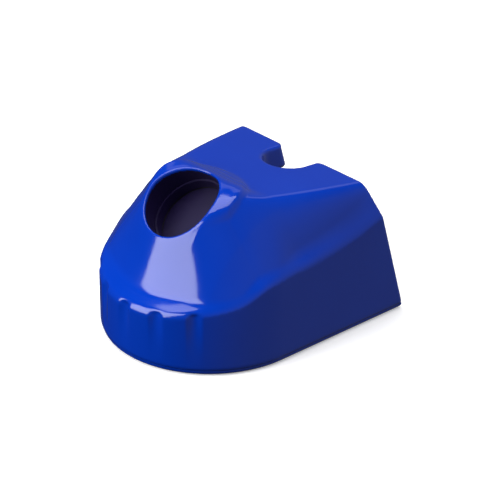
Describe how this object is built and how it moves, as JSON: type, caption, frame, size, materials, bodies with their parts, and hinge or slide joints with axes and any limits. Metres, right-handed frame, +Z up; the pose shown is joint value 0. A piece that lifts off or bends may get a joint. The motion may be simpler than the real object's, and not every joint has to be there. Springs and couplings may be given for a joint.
{
  "type": "floating chlorine dispenser",
  "caption": "Hooded floating dispenser with a slanted sprung loading port, a tablet canister over a turning flow dial, and an open U notch at the back.",
  "frame": {"origin": "centre of the outline on the flat underside of the base, where it stands", "axes": "+Z up through the deck, -Y towards the rounded nose and its port, +Y towards the open back, +X to the right side seen from the back"},
  "size_m": [0.22, 0.274, 0.1645],
  "materials": {
    "hood_plastic": "high gloss moulded royal blue",
    "dark_plastic": "fine matt navy",
    "white_plastic": "satin white",
    "dial_plastic": "satin light blue",
    "float_foam": "closed-cell foam with a matt skin",
    "seal_rubber": "matt black",
    "ballast_coat": "grey dip coat over steel",
    "steel": "stainless"
  },
  "bodies": {
    "shell": {"hood": "hood_plastic", "base_tray": "hood_plastic", "port_liner": "dark_plastic", "liner_screws": "steel", "flap_hinge_pin": "steel", "flap_spring": "steel", "feed_chute": "white_plastic", "chute_screws": "steel", "tablet_canister": "white_plastic", "canister_gasket": "seal_rubber", "canister_screws": "steel", "dial_washer": "steel", "dial_screw": "steel", "base_screws": "steel", "nose_float": "float_foam", "float_right": "float_foam", "float_left": "float_foam", "float_strap_right": "dark_plastic", "float_strap_left": "dark_plastic", "strap_screws": "steel", "ballast_right": "ballast_coat", "ballast_left": "ballast_coat", "ballast_screws": "steel"},
    "flap": {"loading_flap": "dark_plastic", "flap_seal": "seal_rubber"},
    "dial": {"flow_dial": "dial_plastic"}
  },
  "joints": [
    {"name": "flap_hinge", "type": "hinge", "parent": "shell", "child": "flap", "pos_m": [0, -0.00422, 0.13896], "axis": [1, 0, 0], "range_deg": [0, 60], "stiffness_Nm_per_rad": 0.02, "springref_deg": -85.94},
    {"name": "dial_turn", "type": "hinge", "parent": "shell", "child": "dial", "pos_m": [0, -0.029, 0.0046], "axis": [0, 0, 1], "range_deg": [0, 30]}
  ]
}
